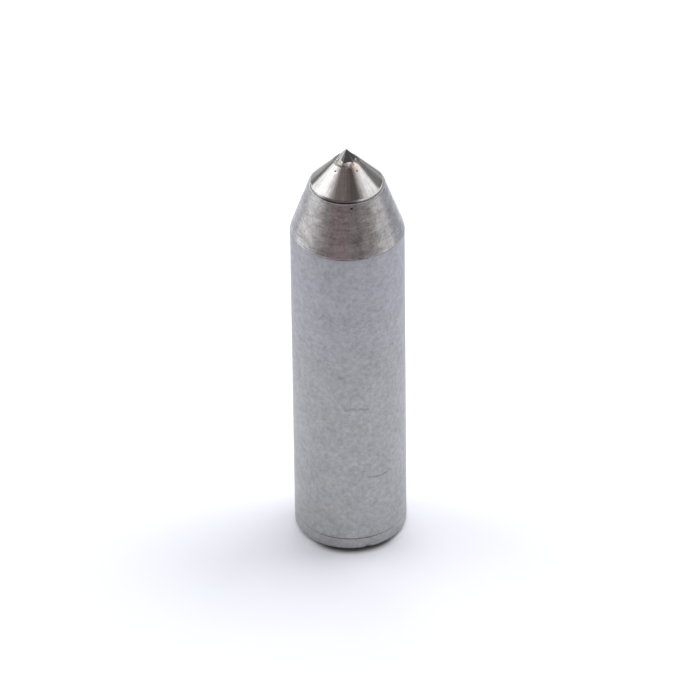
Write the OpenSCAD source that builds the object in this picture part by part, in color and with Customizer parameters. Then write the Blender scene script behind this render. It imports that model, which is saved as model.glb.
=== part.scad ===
// Straight-shank live center.
// A hard-tipped point turns inside a closed cylindrical body. Two deep-groove ball bearings carry
// the side load, a thrust ball bearing carries the end load, and a stack of disc springs under the
// rear bearing takes up the play. Millimetres. +Z runs along the axis towards the point, and the
// origin is the middle of the rear face.

/* [Shank and nose] */
// Diameter of the straight shank
shank_d = 12.7; // [12.7:0.1:13.5]
// Length of the shank, from the rear face to where the nose taper starts
shank_len = 40.6; // [40:0.2:46]
// Included angle of the nose taper
nose_angle = 39; // [37:0.5:40]
// Width of the flat land round the nose's bore
land_w = 0.2; // [0.1:0.05:0.2]
// Chamfer on the rear edge
rear_chamfer = 0.5; // [0.3:0.1:0.6]
// Edge break on each outside joint line
edge_break = 0.06; // [0.04:0.01:0.1]
// Thickness of the rear plug's collar
collar_len = 1.8; // [1.5:0.1:1.8]

/* [Point] */
// Diameter of the turning point's head, where it leaves the nose
head_d = 8; // [8:0.1:8.2]
// Length of the head's straight edge that stands out of the nose
head_step = 0.36; // [0.2:0.02:0.5]
// Included angle of the turning point's cone
point_angle = 87; // [82:1:90]
// Radial gap between the turning point and the nose
running_gap = 0.04; // [0.04:0.01:0.1]
// Diameter of the pocket that holds the hard tip
pocket_d = 3; // [2.8:0.1:3.2]
// Width of the hard tip across its corners
tip_width = 2.3; // [2.1:0.1:2.4]
// Number of facets on the hard tip
tip_facets = 6; // [5:1:8]

/* [Bearings] */
// Diameter of every ball
ball_d = 1.588; // [1.5:0.001:1.588]
// Radial play between a ball and each race
race_play = 0.02; // [0.01:0.005:0.03]
// Balls in the front bearing
front_balls = 8; // [6:1:8]
// Balls in the thrust bearing
thrust_balls = 8; // [6:1:8]
// Balls in the rear bearing
rear_balls = 7; // [6:1:7]

/* [Screw threads] */
// Pitch of the nose cap's and the rear plug's threads
body_pitch = 0.5; // [0.4:0.1:0.5]
// Pitch of the lock nut's thread
nut_pitch = 0.35; // [0.25:0.05:0.35]
// Gap between mating threads
thread_gap = 0.03; // [0.02:0.01:0.04]

/* [Hidden] */
round_fn = 96;
shank_r = shank_d / 2;
ball_r = ball_d / 2;

// Heights of the front stack, measured back from the shank's front end
cap_spigot_len = 4.2;
front_width = 4;
spacer_len = 2;
thrust_height = 4;
front_high = shank_len - cap_spigot_len;
front_low = front_high - front_width;
thrust_high = front_low - spacer_len;
thrust_low = thrust_high - thrust_height;

// Heights of the rear stack, measured up from the rear face
plug_len = 7.4;
spindle_end = 8.6;
nut_low = 9.4;
nut_height = 1.8;
washer_height = 0.4;
rear_width = 4;
spring_free_len = 0.5;
spring_count = 4;
nut_high = nut_low + nut_height;
rear_low = nut_high + washer_height;
rear_high = rear_low + rear_width;
web_low = rear_high + spring_count * spring_free_len;

// Bores of the shank body
front_bore_r = 5;
thrust_bore_r = 4.5;
web_bore_r = 2.5;
rear_bore_r = 4;

// Each deep-groove bearing: [bore radius, outside radius, width, pitch radius, lower face, balls]
front_bearing = [2, front_bore_r, front_width, 3.5, front_low, front_balls];
rear_bearing = [1.5, rear_bore_r, rear_width, 2.75, rear_low, rear_balls];
function bore_r(b) = b[0];
function outside_r(b) = b[1];
function width(b) = b[2];
function pitch_r(b) = b[3];
function low_face(b) = b[4];
function ball_count(b) = b[5];
function middle(b) = low_face(b) + width(b) / 2;

// Race shoulders, cages and shields, as distances from the pitch circle
shoulder_reach = 0.55;
cage_reach = 0.4;
shield_seat_reach = 0.85;
groove_r = ball_r * 1.045;
pocket_play = 0.06;
cage_height = 2.2;
ring_chamfer = 0.1;
shield_seat_depth = 0.28;
shield_t = 0.2;
shield_gap = 0.1;

// Thrust bearing
thrust_pitch_r = 3.25;
thrust_middle = (thrust_high + thrust_low) / 2;
thrust_washer_t = 1.4;
washer_gap = 0.12;
thrust_cage_t = 0.7;
thrust_cage_reach = 1;

// Nose and point
nose_slope = tan(nose_angle / 2);
point_slope = tan(point_angle / 2);
head_r = head_d / 2;
cap_bore_r = head_r + running_gap;
cap_land_r = cap_bore_r + land_w;
cap_land_z = shank_len + (shank_r - cap_land_r) / nose_slope;
head_high = cap_land_z + head_step;
apex_z = head_high + head_r / point_slope;
head_len = 2.4;
head_low = head_high - head_len;
lip_high = head_low - 0.2;
lip_r = 3.6;
seal_land_r = 3.3;
seal_high = lip_high - 1.2;
seal_height = 1.6;
seal_low = seal_high - seal_height;
seal_pocket_r = 4.7;
seal_gap = 0.05;
spigot_bore_r = 3.95;

// Hard tip and its pocket
pocket_r = pocket_d / 2;
pocket_depth = 1.4;
pocket_floor = cone_z(pocket_r) - pocket_depth;
tip_r = tip_width / 2;
tip_girdle = 0.25;
tip_turn = 10;
braze_rim = 0.05;

// Threads: [major radius, pitch, lower end, turns]
cap_thread = [5.5, body_pitch, front_high + 0.5, 6];
plug_thread = [4.5, body_pitch, 3.1, 8];
nut_thread = [1.5, nut_pitch, 9, 6];
thread_depth_ratio = 0.54;
thread_runout = 0.3;
function thread_low(t) = t[2];
function thread_high(t) = t[2] + t[3] * t[1];
function root_r(t) = t[0] - thread_depth_ratio * t[1];

// O-ring under the rear plug's collar
o_ring_t = 1;
o_ring_neck_r = 3.9;
o_ring_seat_r = o_ring_neck_r + o_ring_t;
o_ring_seat_high = collar_len + 1.1;

hex_socket = 4;
hex_socket_depth = 3.2;
hex_nut = 5.5;

bead_blasted = [0.66, 0.66, 0.68];
turned_steel = [0.52, 0.52, 0.52];
polished_steel = [0.8, 0.79, 0.77];
bearing_steel = [0.74, 0.75, 0.77];
spring_steel = [0.36, 0.36, 0.38];
brass = [0.78, 0.62, 0.33];
copper_braze = [0.75, 0.47, 0.34];
dark_stone = [0.12, 0.14, 0.14];
black_rubber = [0.06, 0.06, 0.06];

// Height of the point's cone at a radius
function cone_z(r) = apex_z - r / point_slope;

// Radius of the nose taper at a height
function nose_r(z) = shank_r - (z - shank_len) * nose_slope;

// Points along a thread's edge, from its lower to its upper end, with 60 degree flanks. The
// threads are parallel rings. A gap above zero moves the edge outwards, for the mating thread.
function thread_edge(t, gap = 0, first = 0) =
    let (
        pitch = t[1],
        crest = pitch / 8,
        flank = thread_depth_ratio * pitch * tan(30)
    )
    [
        for (turn = [first : t[3] - 1])
            let (z = t[2] + turn * pitch)
            each [
                [root_r(t) + gap, z],
                [t[0] + gap, z + flank],
                [t[0] + gap, z + flank + crest],
                [root_r(t) + gap, z + 2 * flank + crest]
            ]
    ];

function reversed(points) = [for (i = [len(points) - 1 : -1 : 0]) points[i]];

// A turned part: [radius, height] corners spun about the axis
module turned(profile) {
    rotate_extrude($fn = round_fn) polygon(profile);
}

module ring(r_in, r_out, z_low, z_high) {
    turned([[r_in, z_low], [r_out, z_low], [r_out, z_high], [r_in, z_high]]);
}

// The outline of a hardened ring, with its corners ground off
module ring_outline(r_in, r_out, z_low, z_high) {
    c = ring_chamfer;
    polygon([
        [r_in + c, z_low], [r_out - c, z_low], [r_out, z_low + c], [r_out, z_high - c],
        [r_out - c, z_high], [r_in + c, z_high], [r_in, z_high - c], [r_in, z_low + c]
    ]);
}

module hexagon_bar(across_flats, height) {
    rotate(30) cylinder(d = across_flats / cos(30), h = height, $fn = 6);
}

// ---- Housing ----

module shank_body() {
    cap_relief_z = front_high - thread_runout;
    plug_relief_z = thread_high(plug_thread) + 1.2;
    color(bead_blasted) turned(concat(
        [
            [o_ring_seat_r, collar_len],
            [shank_r - edge_break, collar_len],
            [shank_r, collar_len + edge_break],
            [shank_r, shank_len - edge_break],
            [shank_r - edge_break, shank_len],
            [cap_thread[0] + 2 * thread_gap, shank_len],
            [root_r(cap_thread) + thread_gap, shank_len - thread_runout]
        ],
        reversed(thread_edge(cap_thread, thread_gap)),
        [
            [cap_thread[0] + thread_gap, thread_low(cap_thread)],
            [cap_thread[0] + thread_gap, cap_relief_z],
            [front_bore_r, cap_relief_z],
            [front_bore_r, front_low],
            [thrust_bore_r, front_low],
            [thrust_bore_r, thrust_low],
            [web_bore_r, thrust_low],
            [web_bore_r, web_low],
            [rear_bore_r, web_low],
            [rear_bore_r, plug_relief_z],
            [plug_thread[0] + thread_gap, plug_relief_z],
            [plug_thread[0] + thread_gap, thread_high(plug_thread)]
        ],
        reversed(thread_edge(plug_thread, thread_gap)),
        [
            [root_r(plug_thread) + thread_gap, o_ring_seat_high],
            [o_ring_seat_r, o_ring_seat_high]
        ]
    ));
}

module nose_cap() {
    color(turned_steel) turned(concat(
        [
            [spigot_bore_r, front_high],
            [root_r(cap_thread), front_high]
        ],
        thread_edge(cap_thread),
        [
            [root_r(cap_thread), shank_len],
            [shank_r - edge_break, shank_len],
            [nose_r(shank_len + edge_break), shank_len + edge_break],
            [cap_land_r, cap_land_z],
            [cap_bore_r + edge_break / 2, cap_land_z],
            [cap_bore_r, cap_land_z - edge_break / 2],
            [cap_bore_r, lip_high],
            [lip_r, lip_high],
            [lip_r, seal_high],
            [seal_pocket_r, seal_high],
            [seal_pocket_r, seal_low],
            [spigot_bore_r, seal_low]
        ]
    ));
}

// A rubber ring held in the cap's groove, with a lip that leans towards the point
module nose_seal() {
    heel_r = spigot_bore_r + 0.1;
    lip_edge_r = seal_land_r + seal_gap;
    color(black_rubber) turned([
        [heel_r, seal_low + seal_gap],
        [seal_pocket_r - seal_gap / 2, seal_low + seal_gap],
        [seal_pocket_r - seal_gap / 2, seal_high - seal_gap],
        [heel_r, seal_high - seal_gap],
        [lip_edge_r, seal_high - 0.2],
        [lip_edge_r, seal_high - 0.35],
        [heel_r - 0.25, seal_low + 0.6]
    ]);
}

module rear_plug() {
    color(bead_blasted) difference() {
        turned(concat(
            [
                [0, 0],
                [shank_r - rear_chamfer, 0],
                [shank_r, rear_chamfer],
                [shank_r, collar_len - edge_break],
                [shank_r - edge_break, collar_len],
                [o_ring_neck_r, collar_len],
                [o_ring_neck_r, o_ring_seat_high],
                [root_r(plug_thread), o_ring_seat_high]
            ],
            thread_edge(plug_thread),
            [
                [root_r(plug_thread), plug_len - 0.2],
                [root_r(plug_thread) - 0.2, plug_len],
                [0, plug_len]
            ]
        ));
        translate([0, 0, -1]) hexagon_bar(hex_socket, hex_socket_depth + 1);
        turned([[0, -0.1], [hex_socket * 0.62, -0.1], [hex_socket * 0.47, 0.45], [0, 0.45]]);
    }
}

module plug_o_ring() {
    color(black_rubber) rotate_extrude($fn = round_fn)
        translate([o_ring_neck_r + o_ring_t / 2, (collar_len + o_ring_seat_high) / 2])
            circle(d = o_ring_t, $fn = 48);
}

// One disc spring. Springs are counted up from the rear bearing, and lie in alternating directions.
module disc_spring(number) {
    spring_r_in = 2.1;
    spring_r_out = rear_bore_r - 0.05;
    spring_t = 0.3;
    cone = spring_free_len - spring_t;
    z = rear_high + (number - 1) * spring_free_len;
    inner_lift = number % 2 == 1 ? cone : 0;
    outer_lift = cone - inner_lift;
    color(spring_steel) turned([
        [spring_r_in, z + inner_lift],
        [spring_r_out, z + outer_lift],
        [spring_r_out, z + outer_lift + spring_t],
        [spring_r_in, z + inner_lift + spring_t]
    ]);
}

// ---- Turning point ----

module spindle() {
    journal_end = nut_high + 0.2;
    undercut_r = root_r(nut_thread);
    color(polished_steel) turned(concat(
        [
            [0, spindle_end],
            [undercut_r - 0.2, spindle_end],
            [undercut_r, spindle_end + 0.2]
        ],
        thread_edge(nut_thread),
        [
            [undercut_r, journal_end],
            [bore_r(rear_bearing), journal_end],
            [bore_r(rear_bearing), rear_high],
            [bore_r(front_bearing), rear_high],
            [bore_r(front_bearing), front_high],
            [pitch_r(front_bearing) - shoulder_reach - 0.1, front_high],
            [pitch_r(front_bearing) - shoulder_reach - 0.1, front_high + 0.4],
            [seal_land_r, front_high + 0.4],
            [seal_land_r, head_low],
            [head_r - edge_break, head_low],
            [head_r, head_low + edge_break],
            [head_r, head_high - edge_break / 2],
            [head_r - edge_break / 2, cone_z(head_r - edge_break / 2)],
            [pocket_r, cone_z(pocket_r)],
            [pocket_r, pocket_floor],
            [0, pocket_floor]
        ]
    ));
}

// A faceted hard stone: a pointed crown, a short girdle and a blunt base inside the pocket. It is
// a bar with one flat per facet, and a slanted block cuts each facet of the crown and the base.
module tip_insert() {
    facet_turn = 180 / tip_facets;
    flat_r = tip_r * cos(facet_turn);
    base_r = flat_r * 0.55;
    girdle_high = cone_z(tip_r);
    girdle_low = girdle_high - tip_girdle;
    crown_tilt = atan((apex_z - girdle_high) / flat_r);
    base_tilt = atan((girdle_low - pocket_floor) / (flat_r - base_r));
    block = 4 * tip_width;
    color(dark_stone) rotate(tip_turn) difference() {
        translate([0, 0, pocket_floor])
            cylinder(r = tip_r, h = apex_z - pocket_floor, $fn = tip_facets);
        for (i = [1 : tip_facets]) rotate(360 * i / tip_facets + facet_turn) {
            translate([0, 0, apex_z]) rotate([0, crown_tilt, 0])
                translate([-block / 2, -block / 2, 0]) cube(block);
            translate([base_r, 0, pocket_floor]) rotate([0, -base_tilt, 0])
                translate([-block / 2, -block / 2, -block]) cube(block);
        }
    }
}

// The braze that fills the pocket round the stone, level with the cone
module braze() {
    rim_r = tip_r + braze_rim;
    color(copper_braze) difference() {
        turned([
            [0, pocket_floor],
            [pocket_r, pocket_floor],
            [pocket_r, cone_z(pocket_r)],
            [rim_r, cone_z(rim_r)],
            [0, cone_z(rim_r)]
        ]);
        tip_insert();
    }
}

module bearing_spacer() {
    color(bearing_steel) ring(bore_r(front_bearing), bore_r(front_bearing) + 0.7, thrust_high, front_low);
}

module lock_washer() {
    color(spring_steel) ring(bore_r(rear_bearing) + 0.05, 2.5, nut_high, rear_low);
}

module lock_nut() {
    corner_r = hex_nut / 2 / cos(30);
    mouth_r = nut_thread[0] + thread_gap;
    first_turn = 2;
    color(spring_steel) intersection() {
        difference() {
            translate([0, 0, nut_low]) hexagon_bar(hex_nut, nut_height);
            turned(concat(
                [[0, nut_low - 1], [mouth_r, nut_low - 1], [mouth_r, nut_low + 0.1]],
                thread_edge(nut_thread, thread_gap, first_turn),
                [[mouth_r, thread_high(nut_thread)], [mouth_r, nut_high + 1], [0, nut_high + 1]]
            ));
        }
        turned([
            [0, nut_low],
            [corner_r - 0.35, nut_low],
            [corner_r, nut_low + 0.2],
            [corner_r, nut_high - 0.2],
            [corner_r - 0.35, nut_high],
            [0, nut_high]
        ]);
    }
}

// ---- Deep-groove bearings ----

module inner_ring(b) {
    color(bearing_steel) rotate_extrude($fn = round_fn) difference() {
        ring_outline(bore_r(b), pitch_r(b) - shoulder_reach, low_face(b), low_face(b) + width(b));
        translate([pitch_r(b) - ball_r - race_play + groove_r, middle(b)])
            circle(r = groove_r, $fn = 48);
    }
}

module outer_ring(b) {
    seat_r = pitch_r(b) + shield_seat_reach;
    color(bearing_steel) rotate_extrude($fn = round_fn) difference() {
        ring_outline(pitch_r(b) + shoulder_reach, outside_r(b), low_face(b), low_face(b) + width(b));
        translate([pitch_r(b) + ball_r + race_play - groove_r, middle(b)])
            circle(r = groove_r, $fn = 48);
        for (z = [low_face(b) - 1, low_face(b) + width(b) - shield_seat_depth])
            translate([0, z]) square([seat_r, 1 + shield_seat_depth]);
    }
}

module bearing_cage(b) {
    color(brass) difference() {
        ring(pitch_r(b) - cage_reach, pitch_r(b) + cage_reach,
             middle(b) - cage_height / 2, middle(b) + cage_height / 2);
        for (i = [1 : ball_count(b)])
            rotate(360 * i / ball_count(b)) translate([0, 0, middle(b)])
                rotate([0, 90, 0]) translate([0, 0, pitch_r(b) - 2 * cage_reach])
                    cylinder(r = ball_r + pocket_play, h = 4 * cage_reach, $fn = 48);
    }
}

// Side is 1 for the shield that faces the point, and -1 for the one that faces the rear
module bearing_shield(b, side) {
    seat_z = middle(b) + side * (width(b) / 2 - shield_seat_depth);
    far_z = seat_z + side * shield_t;
    color(spring_steel) ring(
        pitch_r(b) - shoulder_reach + shield_gap,
        pitch_r(b) + shield_seat_reach - 0.02,
        min(seat_z, far_z),
        max(seat_z, far_z)
    );
}

module ball_at(r, z, number, count) {
    color(bearing_steel) rotate(360 * number / count) translate([r, 0, z]) sphere(r = ball_r, $fn = 48);
}

// ---- Thrust bearing ----

// Side is 1 for the washer on the spindle, and -1 for the washer on the body
module thrust_washer(r_in, r_out, side) {
    face_z = side > 0 ? thrust_high - thrust_washer_t : thrust_low;
    color(bearing_steel) rotate_extrude($fn = round_fn) difference() {
        ring_outline(r_in, r_out, face_z, face_z + thrust_washer_t);
        translate([thrust_pitch_r, thrust_middle + side * (ball_r + race_play - groove_r)])
            circle(r = groove_r, $fn = 48);
    }
}

module thrust_cage() {
    color(brass) difference() {
        ring(thrust_pitch_r - thrust_cage_reach, thrust_pitch_r + thrust_cage_reach,
             thrust_middle - thrust_cage_t / 2, thrust_middle + thrust_cage_t / 2);
        for (i = [1 : thrust_balls])
            rotate(360 * i / thrust_balls) translate([thrust_pitch_r, 0, thrust_middle - 1])
                cylinder(r = ball_r + pocket_play, h = 2, $fn = 48);
    }
}

shank_body();
nose_cap();
nose_seal();
rear_plug();
plug_o_ring();
for (i = [1 : spring_count])
    disc_spring(i);

spindle();
tip_insert();
braze();
bearing_spacer();
lock_washer();
lock_nut();

inner_ring(front_bearing);  // front_inner_ring
outer_ring(front_bearing);  // front_outer_ring
bearing_cage(front_bearing);  // front_cage
bearing_shield(front_bearing, 1);  // front_shield_upper
bearing_shield(front_bearing, -1);  // front_shield_lower
for (i = [1 : front_balls])
    ball_at(pitch_r(front_bearing), middle(front_bearing), i, front_balls);

thrust_washer(bore_r(front_bearing), thrust_bore_r - washer_gap, 1);  // thrust_shaft_washer
thrust_washer(bore_r(front_bearing) + washer_gap, thrust_bore_r, -1);  // thrust_housing_washer
thrust_cage();
for (i = [1 : thrust_balls])
    ball_at(thrust_pitch_r, thrust_middle, i, thrust_balls);

inner_ring(rear_bearing);  // rear_inner_ring
outer_ring(rear_bearing);  // rear_outer_ring
bearing_cage(rear_bearing);  // rear_cage
bearing_shield(rear_bearing, 1);  // rear_shield_upper
bearing_shield(rear_bearing, -1);  // rear_shield_lower
for (i = [1 : rear_balls])
    ball_at(pitch_r(rear_bearing), middle(rear_bearing), i, rear_balls);
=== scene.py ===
"""Looks of the straight-shank live center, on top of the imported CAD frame.

Everything is in the CAD's own frame: the origin is the middle of the rear face, and +Z runs along
the axis to the point. Sizes below are in millimetres and are turned into metres where a mesh or a
light is made. The turned outside pieces are lathed again from their CAD nodes' own outlines, with
finer steps, softened edges and the marks that machining and use leave. A clock angle is counted
from the front, which faces -Y, and grows towards +X.
"""

import functools
import math

import bpy
import bmesh
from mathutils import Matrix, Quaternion, Vector, noise


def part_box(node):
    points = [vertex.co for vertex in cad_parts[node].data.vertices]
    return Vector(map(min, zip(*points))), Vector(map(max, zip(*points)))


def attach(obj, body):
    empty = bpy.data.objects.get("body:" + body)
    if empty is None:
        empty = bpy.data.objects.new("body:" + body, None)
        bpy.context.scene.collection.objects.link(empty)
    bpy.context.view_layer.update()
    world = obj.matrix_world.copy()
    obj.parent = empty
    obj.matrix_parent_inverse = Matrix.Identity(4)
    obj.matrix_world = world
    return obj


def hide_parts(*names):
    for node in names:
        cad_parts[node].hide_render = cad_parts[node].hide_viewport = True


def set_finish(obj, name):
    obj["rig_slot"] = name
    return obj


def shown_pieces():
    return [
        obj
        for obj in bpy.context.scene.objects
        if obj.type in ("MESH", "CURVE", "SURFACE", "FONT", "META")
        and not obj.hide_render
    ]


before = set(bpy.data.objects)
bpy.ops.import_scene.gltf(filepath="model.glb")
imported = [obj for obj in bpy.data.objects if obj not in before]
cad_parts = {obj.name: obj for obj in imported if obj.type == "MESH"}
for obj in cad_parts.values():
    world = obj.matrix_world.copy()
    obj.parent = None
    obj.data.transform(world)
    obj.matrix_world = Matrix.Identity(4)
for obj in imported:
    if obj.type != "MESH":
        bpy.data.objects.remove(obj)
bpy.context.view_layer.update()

MM = 0.001


# ---- Sizes, from the frame

def box_mm(node):
    low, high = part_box(node)
    return low / MM, high / MM


SHANK_R = box_mm("shank_body")[1].x
COLLAR_HIGH = box_mm("shank_body")[0].z
SHANK_HIGH = box_mm("shank_body")[1].z
NOSE_HIGH = box_mm("nose_cap")[1].z
STONE_LOW, STONE_HIGH = box_mm("tip_insert")[0].z, box_mm("tip_insert")[1].z
POCKET_R = box_mm("braze")[1].x
POINT_HALF = math.radians(43.5)     # half of the point's included angle
SAME = 1e-3                         # heights and radii that differ by less are the same


# ---- Outlines of the turned CAD nodes

def outline_of(node, skip=lambda r, z: False):
    """The (radius, height) corners of a turned CAD node, in order round its half section.

    Every mesh edge between two different (radius, height) places is a side of the outline. It is
    a closed ring for a part with a bore, and an open chain for one that reaches the axis.
    """
    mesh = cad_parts[node].data
    places, keys = {}, []
    for v in mesh.vertices:
        r, z = math.hypot(v.co.x, v.co.y) / MM, v.co.z / MM
        spot = (round(r / SAME), round(z / SAME))
        near = ((spot[0] + i, spot[1] + j) for i in (0, -1, 1) for j in (0, -1, 1))
        key = next((k for k in near if k in places), spot)
        places.setdefault(key, (r, z))
        keys.append(None if skip(r, z) else key)
    joined = {}
    for e in mesh.edges:
        a, b = (keys[i] for i in e.vertices)
        if a != b and a and b:
            joined.setdefault(a, set()).add(b)
            joined.setdefault(b, set()).add(a)
    ends = [k for k in joined if len(joined[k]) == 1]
    chain = [min(ends or joined, key=lambda k: (k[1], k[0]))]
    while True:
        ways = [k for k in joined[chain[-1]] if k not in chain]
        if not ways:
            return [places[k] for k in chain]
        chain.append(min(ways))


ARC_STEPS = 4


def softened(points, radius, where):
    """The outline with each corner that `where` picks turned into a small arc."""
    out = []
    for i, p in enumerate(points):
        before, after = Vector(points[i - 1]), Vector(points[(i + 1) % len(points)])
        corner = Vector(p)
        back, on = before - corner, after - corner
        straight = back.length < 1e-6 or on.length < 1e-6 or back.angle(on) > math.radians(170)
        if straight or not where(*p):
            out.append(p)
            continue
        reach = min(radius, 0.45 * back.length, 0.45 * on.length)
        start, end = corner + back.normalized() * reach, corner + on.normalized() * reach
        for k in range(ARC_STEPS + 1):
            t = k / ARC_STEPS
            out.append(tuple((1 - t) ** 2 * start + 2 * t * (1 - t) * corner + t * t * end))
    return out


def stepped(points, step, where):
    """The outline with points added along each side whose two ends `where` picks."""
    out = []
    for i, p in enumerate(points):
        q = points[(i + 1) % len(points)]
        out.append(p)
        if where(*p) and where(*q):
            pieces = max(1, math.ceil(math.dist(p, q) / step))
            out += [(p[0] + (q[0] - p[0]) * k / pieces, p[1] + (q[1] - p[1]) * k / pieces)
                    for k in range(1, pieces)]
    return out


# ---- Making pieces

def finish_mesh(name, bm, slot, body, node, sharp=32):
    """Turns a bmesh in millimetres into a piece that rides on a body and stands for a CAD node.

    Edges that turn by more than `sharp` degrees stay sharp.
    """
    bmesh.ops.recalc_face_normals(bm, faces=bm.faces)
    bmesh.ops.scale(bm, vec=(MM, MM, MM), verts=bm.verts)
    mesh = bpy.data.meshes.new(name)
    bm.to_mesh(mesh)
    bm.free()
    mesh.shade_smooth()
    mesh.set_sharp_from_angle(angle=math.radians(sharp))
    piece = bpy.data.objects.new(name, mesh)
    bpy.context.scene.collection.objects.link(piece)
    even = piece.modifiers.new("even_normals", "WEIGHTED_NORMAL")
    even.keep_sharp = True
    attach(piece, body)
    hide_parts(node)
    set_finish(piece, slot)


def lathed(outline, segments, dent=None):
    """A bmesh spun from an outline. A point is (radius, height), or a function of the angle that
    gives them. `dent` gives how far a point sinks towards the axis."""
    bm = bmesh.new()
    rings = []
    for point in outline:
        ring = []
        for k in range(segments):
            angle = 2 * math.pi * k / segments
            r, z = point(angle) if callable(point) else point
            if r == 0:
                ring = [bm.verts.new((0, 0, z))]
                break
            r -= dent(r, z, angle) if dent else 0
            ring.append(bm.verts.new((r * math.cos(angle), r * math.sin(angle), z)))
        rings.append(ring)
    open_ended = len(rings[0]) == 1
    for low, high in zip(rings, rings[1:] + ([] if open_ended else rings[:1])):
        for k in range(segments):
            n = (k + 1) % segments
            corners = [low[k % len(low)], low[n % len(low)], high[n % len(high)], high[k % len(high)]]
            bm.faces.new(list(dict.fromkeys(corners)))
    return bm


def clock(angle):
    """A lathe angle, counted from +X, as a clock angle counted from the front."""
    return (angle + math.pi / 2 + math.pi) % (2 * math.pi) - math.pi


def on_surface(clock_deg, r, z):
    a = math.radians(clock_deg)
    return Vector((r * math.sin(a), -r * math.cos(a), z))


def pits(spots):
    """A dent function of small round pits: [((clock angle, radius, height), width, depth)]."""
    centres = [(on_surface(*spot), width, depth) for spot, width, depth in spots]

    def dent(r, z, angle):
        p = Vector((r * math.cos(angle), r * math.sin(angle), z))
        return sum(depth * math.exp(-((p - c).length / (width / 2)) ** 2)
                   for c, width, depth in centres if abs(z - c.z) < 2 * width)
    return dent


# ---- Marks that the real surfaces carry

NOSE_OUTLINE = outline_of("nose_cap")
NOSE_FOOT_R = max(r for r, z in NOSE_OUTLINE if abs(z - SHANK_HIGH) < 0.1)
NOSE_LAND_R = max(r for r, z in NOSE_OUTLINE if abs(z - NOSE_HIGH) < SAME)


def nose_r(z):
    """The radius of the nose's taper at a height."""
    up = (z - SHANK_HIGH) / (NOSE_HIGH - SHANK_HIGH)
    return NOSE_FOOT_R + (NOSE_LAND_R - NOSE_FOOT_R) * up


def point_r(z):
    """The radius of the polished point at a height."""
    return (STONE_HIGH - z) * math.tan(POINT_HALF)


def pit_on(radius_at, clock_deg, z, width, depth):
    """A pit in a surface whose radius at a height `radius_at` gives."""
    return (clock_deg, radius_at(z), z), width, depth


NOSE_PIT = pit_on(nose_r, 6.4, 46.177, 0.3, 0.05)
POINT_PITS = [pit_on(point_r, -40.0, 49.103, 0.26, 0.05), pit_on(point_r, 37.7, 49.164, 0.2, 0.05)]
FOOT_NICK = ((17.5, SHANK_R - 0.1, 0.4), 0.7, 0.16)
# Scuffs on the shank, each from one (clock angle, height) to the next
SHANK_SCUFFS = [[(-4.5, 19.97), (5.5, 20.1)], [(10.0, 20.08), (19.0, 19.82)],
                [(18.8, 10.31), (31.0, 10.05), (40.6, 10.12)], [(-10.7, 24.36), (-5.1, 24.42)]]


# ---- Housing pieces

SEGMENTS = 256
SHANK_STEP = 0.5        # between the mesh's rings
SHANK_EDGE = 0.04       # how far its edges are softened
SEAM_FILL = 0.043       # how far blasting has closed the joint line between collar and shank
SEAM_FILL_MOST = 1.25   # the most, as a share of that


def seam_fill(r, z, angle):
    """A negative dent that lifts the joint line nearly level, more in some places than others."""
    if abs(z - COLLAR_HIGH) > 0.02 or r < SHANK_R - 0.1:
        return 0
    patchy = 0.98 + 0.7 * noise.noise((2 * math.cos(angle), 2 * math.sin(angle), 3))
    behind = 1 - math.cos(clock(angle))
    return -SEAM_FILL * min(SEAM_FILL_MOST, patchy + 0.35 * behind)


def make_shank():
    """The long blasted body between the collar and the nose."""
    outer = lambda r, z: r > SHANK_R - 0.1
    outline = softened(outline_of("shank_body"), SHANK_EDGE, outer)
    outline = stepped(outline, SHANK_STEP, outer)
    finish_mesh("blasted_shank", lathed(outline, SEGMENTS, seam_fill), "blasted_steel", "housing",
                "shank_body")


FEED = 0.19             # advance of the turning tool over one turn
FEED_STEPS = 5          # mesh steps over one turn of it
FEED_DEPTH = 0.006
NOSE_EDGE = 0.03
MOUTH_FILL = 0.034      # how far the nose's mouth closes on the spindle, which keeps its clearance


def make_nose():
    """The turned conical nose, with the tool's feed marks and one pit."""
    near_cone = lambda r, z: r > nose_r(z) - 0.05
    outline = softened(NOSE_OUTLINE, NOSE_EDGE,
                       lambda r, z: near_cone(r, z) and z > SHANK_HIGH - 0.1)
    outline = stepped(outline, FEED / FEED_STEPS,
                      lambda r, z: near_cone(r, z) and z > SHANK_HIGH - 0.01)
    pit = pits([NOSE_PIT])

    def dent(r, z, angle):
        if abs(z - NOSE_HIGH) < SAME and r < NOSE_LAND_R - 0.15:
            return MOUTH_FILL
        if z <= SHANK_HIGH + 0.02 or r <= nose_r(z) - 0.02:
            return 0
        turn = math.floor(z / FEED)
        depth = FEED_DEPTH * (0.4 + 1.2 * abs(noise.noise((turn * 7.3, 0.5, 0.5))))
        wander = 1 + 0.5 * noise.noise((2 * math.cos(angle), 2 * math.sin(angle), turn * 3.1))
        groove = 0.5 - 0.5 * math.cos(2 * math.pi * z / FEED)
        return depth * wander * groove + pit(r, z, angle)

    finish_mesh("turned_nose", lathed(outline, 2 * SEGMENTS, dent), "turned_steel", "housing",
                "nose_cap")


SOCKET_FLAT_R = 2.0     # half of the hexagon socket's width across flats
SOCKET_DEPTH = 3.2
SOCKET_MOUTH_R = 2.371  # of the countersink at the socket's mouth, on the rear face
SOCKET_MOUTH_SLOPE = 1.0909         # how much the countersink narrows over a millimetre of depth
PLUG_SEGMENTS = 252     # a multiple of 12, so that the socket's corners fall on the mesh
PLUG_STEP, PLUG_EDGE = 0.12, 0.07


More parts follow.
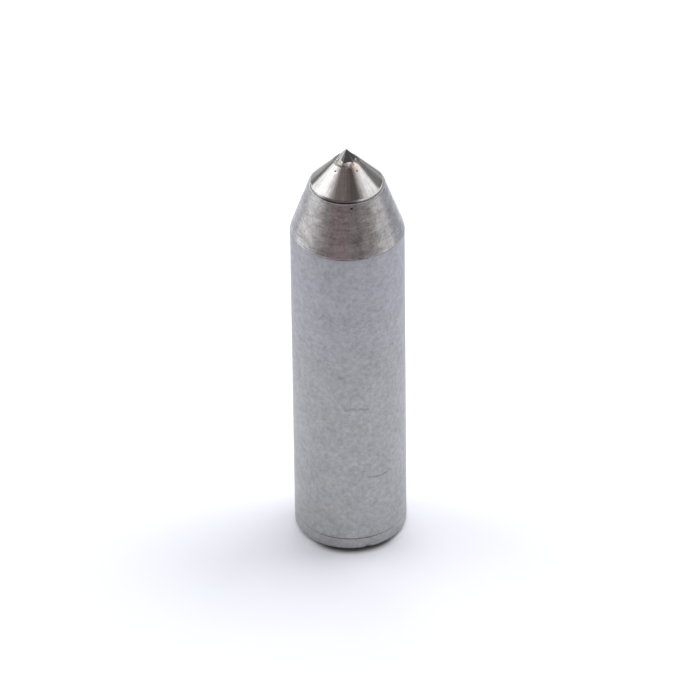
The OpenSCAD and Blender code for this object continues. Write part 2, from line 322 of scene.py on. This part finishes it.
def make_plug():
    """The rear plug, with its collar outside and its hexagon socket behind."""
    socket = lambda r, z: r < SOCKET_MOUTH_R - 0.01 and z < SOCKET_DEPTH + 0.1
    outer = lambda r, z: r > SHANK_R - 0.6 and z < COLLAR_HIGH + 0.01
    outline = softened(outline_of("rear_plug", socket), PLUG_EDGE, outer)
    outline = stepped(outline, PLUG_STEP, lambda r, z: outer(r, z) and r > SHANK_R - 0.55)

    def wall(angle):
        """How far the socket's hexagonal wall stands from the axis."""
        return SOCKET_FLAT_R / math.cos((angle + math.pi / 6) % (math.pi / 3) - math.pi / 6)

    def scallop(angle):
        """Where the socket's wall meets the countersink."""
        return wall(angle), (SOCKET_MOUTH_R - wall(angle)) / SOCKET_MOUTH_SLOPE

    inside = [(0.0, SOCKET_DEPTH), lambda a: (wall(a) - 0.1, SOCKET_DEPTH),
              lambda a: (wall(a), SOCKET_DEPTH - 0.1), scallop]
    whole = inside + outline + [(0.0, outline[-1][1])]
    nick = pits([FOOT_NICK])
    dent = lambda r, z, angle: seam_fill(r, z, angle) + nick(r, z, angle) if outer(r, z) else 0
    finish_mesh("rear_collar", lathed(whole, PLUG_SEGMENTS, dent), "blasted_steel", "housing",
                "rear_plug")


# ---- Spindle pieces

POINT_SEGMENTS = 512
POINT_STEP, POINT_EDGE = 0.06, 0.012    # between the mesh's rings, and how far edges are softened
WAVE = 0.0016           # how far the ground point strays from a true cone


def make_spindle():
    """The whole spindle, with its ground and polished point."""
    head_r, rim_high = box_mm("spindle")[1].x, box_mm("spindle")[1].z
    head_high = rim_high - (head_r - POCKET_R) / math.tan(POINT_HALF)
    on_point = lambda r, z: z > head_high and r > POCKET_R - 0.01
    outline = outline_of("spindle")
    outline = [(0.0, outline[0][1])] + outline + [(0.0, outline[-1][1])]
    outline = softened(outline, POINT_EDGE, lambda r, z: z > head_high - 0.1)
    outline = stepped(outline, POINT_STEP, on_point)
    marks = pits(POINT_PITS)

    def dent(r, z, angle):
        if not on_point(r, z):
            return 0
        x, y = math.cos(angle), math.sin(angle)
        slow = noise.noise((3 * x, 3 * y, 0.7 * z))
        fine = noise.noise((26 * x, 26 * y, 0.25 * z))
        return WAVE * (1 + 0.6 * slow + 0.4 * fine) + marks(r, z, angle)

    finish_mesh("polished_spindle", lathed(outline, POINT_SEGMENTS, dent), "polished_steel",
                "spindle", "spindle")


STONE_EDGE = 0.016      # how wide its edges are broken


def make_stone():
    """The faceted stone, with its edges just broken."""
    bm = bmesh.new()
    bm.from_mesh(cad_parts["tip_insert"].data)
    bmesh.ops.remove_doubles(bm, verts=bm.verts, dist=1e-7)
    bmesh.ops.scale(bm, vec=(1 / MM, 1 / MM, 1 / MM), verts=bm.verts)
    bmesh.ops.dissolve_limit(bm, angle_limit=math.radians(1), verts=bm.verts, edges=bm.edges)
    bmesh.ops.bevel(bm, geom=bm.edges, offset=STONE_EDGE, segments=2, profile=0.5, affect="EDGES",
                    clamp_overlap=True)
    finish_mesh("faceted_stone", bm, "hard_stone", "spindle", "tip_insert", sharp=18)


STONE_FACETS = 6
STONE_TURN = math.radians(10)       # how far the facets are turned round the axis
STONE_FLAT_R = 0.996    # from the axis to the foot of a crown facet
STONE_CROWN = 1.212     # height of the crown
BRAZE_BLOB = math.radians(-47)      # clock angle of the largest lump
BRAZE_SMOOTH_AND_HIGHLIGHT = math.radians(42)     # clock angle where it was dressed smooth, and of its painted highlight
BRAZE_SEGMENTS, BRAZE_RINGS = 192, 14


def make_braze():
    """The braze round the stone: level with the cone at its rim, lumpy and lapped up the stone."""
    floor_z = box_mm("braze")[0].z
    rim_z = STONE_HIGH - POCKET_R / math.tan(POINT_HALF)

    def off_facet(angle):
        facet = 2 * math.pi / STONE_FACETS
        return (angle - STONE_TURN) % facet - facet / 2

    def girdle_r(angle):
        return STONE_FLAT_R / math.cos(off_facet(angle))

    def stone_z(r, angle):
        return STONE_HIGH - r * math.cos(off_facet(angle)) * STONE_CROWN / STONE_FLAT_R

    def surface(t):
        """One ring of the surface, from the pocket's rim (t = 0) to the stone (t = 1)."""
        def point(angle):
            x, y = math.cos(angle), math.sin(angle)
            blob = math.exp(-((clock(angle) - BRAZE_BLOB) / 0.28) ** 2)
            inner = girdle_r(angle) - 0.03 + 0.06 * noise.noise((3 * x, 3 * y, 4.0)) - 0.12 * blob
            r = POCKET_R + (inner - POCKET_R) * t
            z = rim_z + (stone_z(inner, angle) + 0.015 - rim_z) * t
            lump = noise.noise((4 * x, 4 * y, 3 * t)) + 0.5 * noise.noise((11 * x, 11 * y, 5 * t))
            smooth = math.exp(-((clock(angle) - BRAZE_SMOOTH_AND_HIGHLIGHT) / 0.7) ** 2)
            rough = 0.4 + 0.6 * blob - 0.37 * smooth
            return r, z + math.sin(math.pi * t) * (0.02 + 0.06 * rough * lump + 0.07 * blob)
        return point

    outline = [(0.0, floor_z), (POCKET_R, floor_z)]
    outline += [surface(k / BRAZE_RINGS) for k in range(BRAZE_RINGS + 1)]
    # the inner side ends inside the stone
    outline += [(0.75, STONE_LOW + 0.7), (0.0, STONE_LOW + 0.7)]
    finish_mesh("braze_fillet", lathed(outline, BRAZE_SEGMENTS), "braze", "spindle", "braze",
                sharp=60)


for make in (make_shank, make_nose, make_plug, make_spindle, make_stone, make_braze):
    make()


# ---- Materials

class Nodes:
    """Short ways to add nodes to a node tree. An input may be a socket, a number or a tuple."""

    def __init__(self, tree):
        self.tree = tree

    def add(self, kind, inputs=(), out=0, **settings):
        node = self.tree.nodes.new(kind)
        for key, value in settings.items():
            setattr(node, key, value)
        for key, value in dict(inputs).items():
            self.give(node, key, value)
        return node.outputs[out] if node.outputs else None

    def give(self, node, key, value):
        """Links a socket to a node's input, or sets the input to a number or a tuple."""
        if isinstance(value, bpy.types.NodeSocket):
            self.tree.links.new(value, node.inputs[key])
        else:
            node.inputs[key].default_value = value

    def math(self, operation, *values):
        return self.add("ShaderNodeMath", enumerate(values), operation=operation)

    def vector(self, operation, *values):
        gives_number = operation in ("DOT_PRODUCT", "LENGTH", "DISTANCE")
        return self.add("ShaderNodeVectorMath", enumerate(values), int(gives_number),
                        operation=operation)

    def total(self, *values):
        return functools.reduce(lambda a, b: self.math("ADD", a, b), values)

    def least(self, values):
        return functools.reduce(lambda a, b: self.math("MINIMUM", a, b), values)

    def rise(self, value, low, high, start=0.0, end=1.0):
        """Goes smoothly from start to end while the value goes from low to high."""
        return self.add("ShaderNodeMapRange", {"Value": value, "From Min": low, "From Max": high,
                                               "To Min": start, "To Max": end},
                        interpolation_type="SMOOTHSTEP")

    def spread(self, pattern, start, end):
        """Goes from start to end over the range that a noise pattern mostly keeps to."""
        return self.add("ShaderNodeMapRange", {"Value": pattern, "From Min": 0.3, "From Max": 0.7,
                                               "To Min": start, "To Max": end})

    def swing(self, pattern, amount):
        return self.spread(pattern, -amount, amount)

    def between(self, factor, a, b):
        """The number a where the factor is 0, and b where it is 1."""
        return self.add("ShaderNodeMix", {0: factor, 2: a, 3: b})

    def mix(self, factor, a, b, blend="MIX"):
        """The colour a where the factor is 0, and b where it is 1."""
        return self.add("ShaderNodeMix", {0: factor, 6: a, 7: b}, 2, data_type="RGBA",
                        blend_type=blend)

    def lit(self, color, light):
        """The colour times a number."""
        return self.mix(1.0, color, self.add("ShaderNodeCombineColor", {0: light, 1: light, 2: light}),
                        "MULTIPLY")

    def noise(self, vector, scale=1.0, detail=2.0, rough=0.5):
        return self.add("ShaderNodeTexNoise", {"Vector": vector, "Scale": scale,
                                               "Detail": detail, "Roughness": rough})

    def place(self):
        """The place on the object, in millimetres."""
        spot = self.add("ShaderNodeTexCoord", out="Object")
        return self.vector("MULTIPLY", spot, (1 / MM, 1 / MM, 1 / MM))

    def axis(self, vector, k):
        """The vector's share along X, Y or Z, for k = 0, 1 or 2."""
        return self.add("ShaderNodeSeparateXYZ", {0: vector}, k)

    def flat(self, place):
        """The place without its height."""
        return self.vector("MULTIPLY", place, (1.0, 1.0, 0.0))

    def round_the_axis(self, place, turns, upward):
        """A place for a pattern that is stretched round the axis or along it."""
        way = self.vector("NORMALIZE", self.flat(place))
        height = self.vector("MULTIPLY", place, (0.0, 0.0, upward))
        return self.vector("ADD", self.vector("MULTIPLY", way, (turns, turns, 0.0)), height)

    def facing(self, place, clock_deg, start, full, share=1.0):
        """A mask for one side of the object, whose middle is at this clock angle.

        It is 0 where the cosine of the angle from that middle is `start` or less, and `share`
        where the cosine is `full` or more.
        """
        way = self.vector("NORMALIZE", self.flat(place))
        cosine = self.vector("DOT_PRODUCT", way, tuple(on_surface(clock_deg, 1.0, 0.0)))
        return self.rise(cosine, start, full, 0.0, share)

    def line_distance(self, place, a, b):
        """The distance from the line between two points."""
        from_a = self.vector("SUBTRACT", place, tuple(a))
        along = b - a
        share = self.vector("DOT_PRODUCT", from_a, tuple(along / along.length_squared))
        share = self.add("ShaderNodeClamp", {0: share})
        nearest = self.add("ShaderNodeVectorMath", {0: tuple(along), 3: share}, operation="SCALE")
        return self.vector("DISTANCE", from_a, nearest)

    def bump(self, height, distance):
        """A bump with this many millimetres between its lowest and highest place."""
        return self.add("ShaderNodeBump", {"Height": height, "Distance": distance * MM})


def material(build, **fixed):
    """The finish of the material slot that the function `build` is named after."""
    mat = bpy.data.materials.new("look_" + build.__name__)
    mat.use_nodes = True
    shader = mat.node_tree.nodes["Principled BSDF"]
    n = Nodes(mat.node_tree)
    for key, value in zip(("Base Color", "Roughness", "Normal"), build(n)):
        n.give(shader, key, value)
    for key, value in {"Metallic": 1.0, **fixed}.items():
        shader.inputs[key].default_value = value
    return mat


def grey(value, red=1.0, green=1.0, blue=1.0):
    """A grey, tinted by how much of each colour it keeps."""
    return (value * red, value * green, value * blue, 1.0)


# Each function below gives a colour, a roughness and a normal

def blasted_steel(n):
    p = n.place()
    speck = n.noise(p, 3.4, 3.0, 0.6)
    grain = n.noise(p, 11.0, 2.0)
    wide = n.noise(n.vector("ADD", p, (40.0, 0.0, 9.0)), 0.45, 2.0)
    mottle = n.noise(p, 1.8, 2.0)
    light = n.total(n.swing(speck, 0.12), n.swing(grain, 0.06), n.swing(wide, 0.05),
                    n.swing(mottle, 0.11), 1.0)
    # the upper part is slightly cooler, with an uneven border
    border = n.total(n.math("MULTIPLY", n.noise(p, 0.16, 1.0), 16.0), n.axis(p, 2))
    base = n.mix(n.rise(border, 26.0, 44.0), grey(0.42), grey(0.42, 0.985, 0.99, 1.05))
    color = n.lit(base, light)
    # dark scuffs, and a few small pits
    ends = [[on_surface(a, SHANK_R, z) for a, z in line] for line in SHANK_SCUFFS]
    lines = [pair for line in ends for pair in zip(line, line[1:])]
    wobble = n.swing(n.noise(p, 4.0, 2.0), 0.09)
    scuff = n.least([n.total(n.line_distance(p, a, b), wobble) for a, b in lines])
    dark = n.rise(scuff, 0.02, 0.27, 0.8, 0.0)
    pit = n.rise(n.add("ShaderNodeTexVoronoi", {"Vector": p, "Scale": 0.8}), 0.05, 0.11, 1.0, 0.0)
    rare = n.rise(n.noise(p, 0.9, 0.0), 0.52, 0.6)
    mark = n.math("MAXIMUM", dark, n.math("MULTIPLY", pit, rare))
    color = n.mix(n.math("MULTIPLY", mark, 0.5), color, grey(0.2))
    height = n.total(n.math("MULTIPLY", speck, 0.6), n.math("MULTIPLY", grain, 0.4),
                     n.math("MULTIPLY", mark, -0.25))
    return color, n.spread(speck, 0.46, 0.56), n.bump(height, 0.02)


# The nose's tints and painted light, in order: clock angle, cosines where it starts and is full, share
# and colour
NOSE_TINTS_AND_PAINTED_LIGHT = ((-11.0, 0.97, 0.998, 0.8, grey(0.62, 1.09, 0.93, 1.0)),       # a pinkish band
              (20.0, 0.96, 0.99, 0.6, grey(0.6, 0.975, 1.015, 0.985)),      # greenish beside it
              (30.0, 0.955, 0.99, 0.8, grey(0.82, 1.01, 1.0, 0.995)),       # a painted highlight
              (74.0, 0.93, 0.985, 0.85, grey(0.4, 0.98, 0.98, 1.07)),       # painted shade on both sides
              (-84.0, 0.92, 0.99, 0.8, grey(0.5, 0.99, 0.99, 1.02)))


def turned_steel(n):
    p = n.place()
    streak = n.noise(n.round_the_axis(p, 3.4, 4.4), 1.0, 3.0, 0.62)
    broad = n.noise(n.round_the_axis(p, 1.3, 0.9), 1.0, 1.0)
    smear = n.noise(p, 1.1, 3.0, 0.6)
    grain = n.noise(p, 3.8, 2.0, 0.6)
    light = n.total(n.swing(streak, 0.15), n.swing(broad, 0.1), n.swing(grain, 0.17),
                    n.swing(smear, 0.17), 0.97)
    base = grey(0.62, 1.015, 0.985, 0.995)
    for clock_deg, start, full, share, nose_colour in NOSE_TINTS_AND_PAINTED_LIGHT:
        base = n.mix(n.facing(p, clock_deg, start, full, share), base, nose_colour)
    color = n.lit(base, light)
    pit = n.vector("DISTANCE", p, tuple(on_surface(*NOSE_PIT[0])))
    color = n.mix(n.rise(pit, 0.1, 0.24, 0.95, 0.0), color, grey(0.07, 1.3, 0.9, 0.9))
    # the narrow land at the mouth is rougher than the cone, and painted darker as painted shade, more
    # on the right side and in front than on the left
    land = n.rise(n.axis(p, 2), NOSE_HIGH - 0.04, NOSE_HIGH - 0.01)
    painted_land_shade = n.mix(n.facing(p, 90.0, -0.3, 0.6), grey(0.38), grey(0.24))
    painted_land_shade = n.mix(n.facing(p, -12.0, 0.78, 0.95), painted_land_shade, grey(0.27, 1.05, 0.97, 0.97))
    color = n.mix(land, color, painted_land_shade)
    rough = n.total(n.spread(streak, 0.26, 0.36), n.math("MULTIPLY", land, 0.25))
    fine = n.noise(n.round_the_axis(p, 3.0, 24.0), 1.0, 2.0)
    return color, rough, n.bump(fine, 0.003)


def polished_steel(n):
    p = n.place()
    from_axis = n.vector("LENGTH", n.flat(p))
    lapping = n.noise(n.round_the_axis(p, 14.0, 0.6), 1.0, 4.0, 0.72)
    cloud = n.noise(p, 2.2, 3.0, 0.6)
    light = n.total(n.swing(lapping, 0.23), n.swing(cloud, 0.1), 1.0)
    color = n.lit(grey(0.74, 1.02, 0.995, 0.985), light)
    color = n.mix(n.facing(p, 15.0, 0.98, 0.997, 0.35), color, grey(0.7, 0.93, 1.02, 0.94))
    # a warm stain beside the tip, and the dark pits
    by_tip = n.rise(from_axis, 1.5, 2.4, 1.0, 0.0)
    stain = n.math("MULTIPLY", n.facing(p, 27.0, 0.93, 0.99), by_tip)
    color = n.mix(n.math("MULTIPLY", stain, 0.6), color, grey(0.7, 1.0, 0.72, 0.55))
    pit = n.least([n.vector("DISTANCE", p, tuple(on_surface(*spot))) for spot, _, _ in POINT_PITS])
    color = n.mix(n.rise(pit, 0.05, 0.17, 0.85, 0.0), color, grey(0.1))
    # the wall in the joint with the nose is rougher, painted light as a painted highlight, and painted
    # dark in front as painted shade
    joint = n.rise(from_axis, 3.93, 3.98)
    color = n.mix(joint, color, grey(0.95))
    painted_joint_shade = n.math("MULTIPLY", joint, n.facing(p, -12.0, 0.78, 0.95))
    color = n.mix(painted_joint_shade, color, grey(0.2, 1.1, 0.95, 0.87))
    rough = n.total(n.spread(lapping, 0.04, 0.085), n.math("MULTIPLY", joint, 0.4))
    return color, rough, n.bump(lapping, 0.002)


def hard_stone(n):
    p = n.place()
    cloud = n.noise(p, 3.0, 3.0, 0.6)
    color = n.mix(n.rise(cloud, 0.35, 0.65), grey(0.36, 1.04, 0.98, 0.97),
                  grey(0.46, 1.02, 0.98, 0.96))
    # painted dark reflections: darker facets on the left and the right, and a greenish dark one in
    # front
    color = n.mix(n.facing(p, -24.0, 0.93, 0.975), color, grey(0.07, 1.25, 0.95, 0.97))
    color = n.mix(n.facing(p, 66.0, 0.8, 0.95), color, grey(0.14, 1.12, 0.95, 1.0))
    color = n.mix(n.facing(p, 10.0, 0.75, 0.93), color, grey(0.25, 0.92, 1.01, 1.03))
    return color, n.spread(cloud, 0.05, 0.1), n.bump(n.noise(p, 9.0, 2.0), 0.001)


def braze(n):
    p = n.place()
    cloud = n.noise(p, 3.5, 3.0, 0.65)
    color = n.mix(n.rise(cloud, 0.35, 0.65), grey(0.28, 1.04, 0.98, 0.94),
                  grey(0.46, 1.03, 0.98, 0.93))
    # coppery and smooth where it was dressed, and painted pale there as a painted highlight
    dressed_and_highlight_deg = math.degrees(BRAZE_SMOOTH_AND_HIGHLIGHT)
    color = n.mix(n.facing(p, dressed_and_highlight_deg, 0.75, 0.95, 0.85), color, grey(0.97, 1.0, 0.88, 0.83))
    rough = n.between(n.facing(p, dressed_and_highlight_deg, 0.8, 0.95), n.spread(cloud, 0.22, 0.4), 0.13)
    return color, rough, n.bump(n.noise(p, 9.0, 3.0), 0.004)


def bearing_steel(n):
    ring = n.noise(n.round_the_axis(n.place(), 1.5, 30.0), 1.0, 2.0)
    return grey(0.62, 0.99, 1.0, 1.02), n.spread(ring, 0.1, 0.18), n.bump(ring, 0.0005)


def spring_steel(n):
    p = n.place()
    cloud = n.noise(p, 1.6, 3.0, 0.6)
    color = n.mix(n.rise(cloud, 0.3, 0.7), grey(0.24, 0.98, 1.0, 1.06), grey(0.3))
    return color, n.spread(cloud, 0.3, 0.42), n.bump(n.noise(p, 8.0, 2.0), 0.002)


def cage_brass(n):
    p = n.place()
    cloud = n.noise(p, 1.3, 3.0, 0.6)
    color = n.mix(n.rise(cloud, 0.3, 0.7), grey(0.8, 1.0, 0.76, 0.36), grey(0.7, 1.0, 0.72, 0.33))
    return color, n.spread(cloud, 0.2, 0.32), n.bump(n.noise(p, 10.0, 2.0), 0.002)


def black_rubber(n):
    grain = n.noise(n.place(), 7.0, 3.0, 0.6)
    color = n.mix(n.rise(grain, 0.3, 0.7), grey(0.012), grey(0.022))
    return color, n.spread(grain, 0.55, 0.7), n.bump(grain, 0.01)


LOOKS = {
    "blasted_steel": material(blasted_steel),
    "turned_steel": material(turned_steel, Anisotropic=0.4),
    "polished_steel": material(polished_steel),
    "hard_stone": material(hard_stone, Metallic=0.75, IOR=2.4),
    "braze": material(braze),
    "bearing_steel": material(bearing_steel),
    "spring_steel": material(spring_steel),
    "cage_brass": material(cage_brass),
    "black_rubber": material(black_rubber, Metallic=0.0),
}
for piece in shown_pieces():
    slot = piece.get("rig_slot") or piece.data.materials[0].name
    piece.data.materials.clear()
    piece.data.materials.append(LOOKS[slot])


# ---- Floor, light and camera

FLOOR_CLEAR, FLOOR_GONE = 60.0, 190.0   # from the axis to where the floor fades, and is gone
FLOOR_DROP = 0.02                       # how far the floor lies under the rear face
FLOOR_COLOR = (0.848, 0.865, 0.93, 1.0)


def make_floor():
    """A pale card that fades out, with a painted contact shadow in front of the foot."""
    bm = bmesh.new()
    bmesh.ops.create_circle(bm, cap_ends=True, radius=(FLOOR_GONE + 10.0) * MM, segments=96)
    mesh = bpy.data.meshes.new("floor")
    bm.to_mesh(mesh)
    bm.free()
    floor = bpy.data.objects.new("floor", mesh)
    floor.location.z = -FLOOR_DROP * MM
    bpy.context.scene.collection.objects.link(floor)
    mat = bpy.data.materials.new("floor_card")
    mat.use_nodes = True
    shader = mat.node_tree.nodes["Principled BSDF"]
    n = Nodes(mat.node_tree)
    p = n.place()
    away = n.vector("LENGTH", p)
    # painted contact shadow: darker in a ring round the foot, most in front
    painted_contact_shadow = n.math("MULTIPLY", n.rise(away, SHANK_R - 0.25, SHANK_R + 0.75, 1.0, 0.0),
                     n.facing(p, 6.0, 0.6, 0.93))
    n.give(shader, "Base Color", n.mix(painted_contact_shadow, FLOOR_COLOR, grey(0.36)))
    n.give(shader, "Alpha", n.rise(away, FLOOR_CLEAR, FLOOR_GONE, 1.0, 0.0))
    n.give(shader, "Roughness", 0.9)
    n.give(shader, "Specular IOR Level", 0.0)
    mesh.materials.append(mat)


# The room, as the part sees it. A direction has a turn from the front and a height above level,
# both in degrees. Where two values stand together, they are for low and for high directions,
# or say otherwise.
LEVEL_ZONE = (-12.0, 4.0)               # heights over which "low down" gives way to "above"
HIGH_ZONE = (6.0, 34.0)                 # heights over which low gives way to high
CEILING_ZONE = (56.0, 74.0)             # heights over which the room gives way to the ceiling
FRONT_EDGE = (47.0, 37.0)               # how far the dark front reaches to each side
FRONT_MORE_LEFT = 6.0                   # how much further it reaches on the left, high up
FRONT_FADE = 53.0                       # how far it takes to open into the bright sides
FRONT_LOW, FRONT_HIGH_LEFT, FRONT_HIGH_RIGHT = 0.2, 0.19, 0.105
FRONT_TURN = 30.0                       # the turn where the left and right values are reached
SIDE_RIGHT, SIDE_LEFT = (0.75, 1.02), (1.0, 1.45)
SIDE_END_LOW = (96.0, 130.0)            # turns over which a side gives way to the back: low down,
SIDE_END_RIGHT, SIDE_END_LEFT = (106.0, 119.0), (124.0, 133.0)      # and above, right and left
BACK_LOW_RIGHT, BACK_LOW_LEFT = 0.32, 0.45
BACK_ZONE, BACK_NEAR, BACK_FAR = (136.0, 158.0), 0.2, 0.6           # over these turns, from and to
CEILING = 0.9
WARM_ZONE = (30.0, 85.0)                # turns over which the front's warm tint fades
WARM = (1.0, 0.86, 0.845, 1.0)
WHITE = (1.0, 1.0, 1.0, 1.0)


def make_world():
    """A dark front, where the camera stands, opens into bright sides with a grey back behind.

    The camera itself sees plain white.
    """
    world = bpy.data.worlds.new("studio")
    bpy.context.scene.world = world
    world.use_nodes = True
    world.node_tree.nodes.clear()
    n = Nodes(world.node_tree)
    way = n.add("ShaderNodeTexCoord", out="Generated")
    x, y, z = (n.axis(way, k) for k in range(3))
    turn = n.math("DEGREES", n.math("ARCTAN2", x, n.math("MULTIPLY", y, -1.0)))
    height = n.math("DEGREES", n.math("ARCSINE", z))
    side = n.math("ABSOLUTE", turn)
    left = n.rise(turn, -1.0, 1.0, 1.0, 0.0)
    high = n.rise(height, *HIGH_ZONE)
    above = n.rise(height, *LEVEL_ZONE)
    ceiling = n.rise(height, *CEILING_ZONE)
    # the front and the sides
    more = n.math("MULTIPLY", n.math("MULTIPLY", left, high), FRONT_MORE_LEFT)
    edge = n.total(n.between(high, *FRONT_EDGE), more)
    opening = n.rise(n.math("SUBTRACT", side, edge), 0.0, FRONT_FADE)
    front_high = n.rise(turn, -FRONT_TURN, FRONT_TURN, FRONT_HIGH_LEFT, FRONT_HIGH_RIGHT)
    front = n.between(high, FRONT_LOW, front_high)
    bright = n.between(left, n.between(high, *SIDE_RIGHT), n.between(high, *SIDE_LEFT))
    light = n.between(opening, front, bright)
    # the back and the ceiling
    past = n.between(left, n.rise(side, *SIDE_END_RIGHT), n.rise(side, *SIDE_END_LEFT))
    past = n.between(above, n.rise(side, *SIDE_END_LOW), past)
    back = n.between(above, n.between(left, BACK_LOW_RIGHT, BACK_LOW_LEFT),
                     n.rise(side, *BACK_ZONE, BACK_NEAR, BACK_FAR))
    light = n.between(past, light, back)
    light = n.between(ceiling, light, CEILING)
    warm = n.math("MULTIPLY", n.rise(side, *WARM_ZONE, 1.0, 0.0),
                  n.rise(height, *CEILING_ZONE, 1.0, 0.0))
    room = n.add("ShaderNodeBackground", {"Color": n.mix(warm, WHITE, WARM), "Strength": light})
    plain = n.add("ShaderNodeBackground", {"Color": WHITE, "Strength": 1.0})
    seen = n.add("ShaderNodeLightPath", out="Is Camera Ray")
    shown = n.add("ShaderNodeMixShader", {0: seen, 1: room, 2: plain})
    n.add("ShaderNodeOutputWorld", {"Surface": shown})


# Soft lamps that look at the foot: name, place and size in metres, and watts
LAMPS = (("softbox_right", (0.135, 0.08, 0.30), 0.17, 0.47),
         ("softbox_left", (-0.165, 0.08, 0.29), 0.22, 0.20),
         ("softbox_back", (0.0, 0.15, 0.30), 0.2, 0.30))


def make_lamp(name, place, size, watts):
    data = bpy.data.lights.new(name, "AREA")
    data.shape = "DISK"
    data.size = size
    data.energy = watts
    lamp = bpy.data.objects.new(name, data)
    lamp.location = place
    lamp.rotation_mode = "QUATERNION"
    lamp.rotation_quaternion = (-Vector(place)).to_track_quat("-Z", "Y")
    bpy.context.scene.collection.objects.link(lamp)


CAMERA_RISE = math.radians(36.49)
CAMERA_ROLL = math.radians(-0.69)
CAMERA_AIM = Vector((0.139, 0.0, 23.67)) * MM
CAMERA_AWAY = 822.4 * MM
CAMERA_LENS = 377.8


def make_camera():
    data = bpy.data.cameras.new("camera")
    data.lens = CAMERA_LENS
    data.sensor_width = 36.0
    data.clip_start, data.clip_end = 0.05, 10.0
    camera = bpy.data.objects.new("camera", data)
    back = Vector((0.0, -math.cos(CAMERA_RISE), math.sin(CAMERA_RISE)))
    camera.location = CAMERA_AIM + back * CAMERA_AWAY
    camera.rotation_mode = "QUATERNION"
    level = (-back).to_track_quat("-Z", "Y")
    camera.rotation_quaternion = level @ Quaternion((0.0, 0.0, 1.0), CAMERA_ROLL)
    bpy.context.scene.collection.objects.link(camera)
    bpy.context.scene.camera = camera


make_floor()
make_world()
for lamp in LAMPS:
    make_lamp(*lamp)
make_camera()
bpy.context.scene.view_settings.view_transform = "Standard"
bpy.context.scene.view_settings.look = "None"
